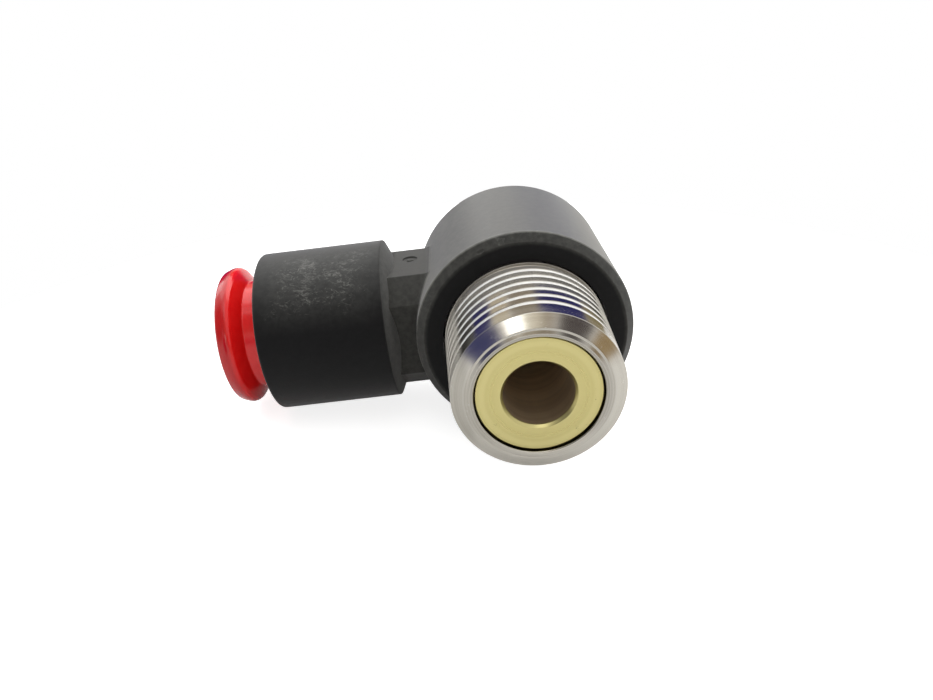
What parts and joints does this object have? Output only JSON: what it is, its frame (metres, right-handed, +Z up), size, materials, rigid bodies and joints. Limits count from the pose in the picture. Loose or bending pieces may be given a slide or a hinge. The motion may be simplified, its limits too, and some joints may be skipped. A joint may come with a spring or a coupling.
{
  "type": "push-to-connect elbow fitting",
  "caption": "Swivel elbow tube fitting: a black nylon body that turns on a nickel-plated taper-threaded stem with a brass core, and a push-in socket with a red release collet.",
  "frame": {"origin": "under the middle of the fitting's bounding box, on the plane that the drum rests on", "axes": "+Z up, the stem along Y with its threaded nose towards -Y, the tube socket along X with its mouth towards -X"},
  "size_m": [0.056, 0.0384, 0.0289],
  "materials": {
    "black_nylon": "satin moulded, glass-filled, scuffed",
    "nickel_plate": "bright nickel plate over turned metal",
    "brass": "turned, pale satin",
    "red_acetal": "glossy",
    "stem_rubber": "matte",
    "washer_acetal": "natural acetal",
    "guide_nylon": "satin",
    "spring_steel": "stainless spring strip",
    "holder_acetal": "natural acetal",
    "seal_rubber": "matte"
  },
  "bodies": {
    "stem": {"threaded_stud": "nickel_plate", "stem_core": "brass", "stem_seal_front": "stem_rubber", "stem_seal_rear": "stem_rubber", "thrust_washer_front": "washer_acetal", "thrust_washer_rear": "washer_acetal"},
    "elbow": {"elbow_body": "black_nylon", "collet_guide": "guide_nylon", "grab_ring": "spring_steel", "grab_ring_holder": "holder_acetal", "tube_seal": "seal_rubber"},
    "collet": {"release_collet": "red_acetal"}
  },
  "joints": [
    {"name": "body_swivel", "type": "hinge", "parent": "stem", "child": "elbow", "pos_m": [0.0135, 0, 0.01447], "axis": [0, 1, 0], "continuous": true},
    {"name": "collet_press", "type": "slide", "parent": "elbow", "child": "collet", "axis": [1, 0, 0], "range_m": [0, 0.00285], "stiffness_N_per_m": 800}
  ]
}
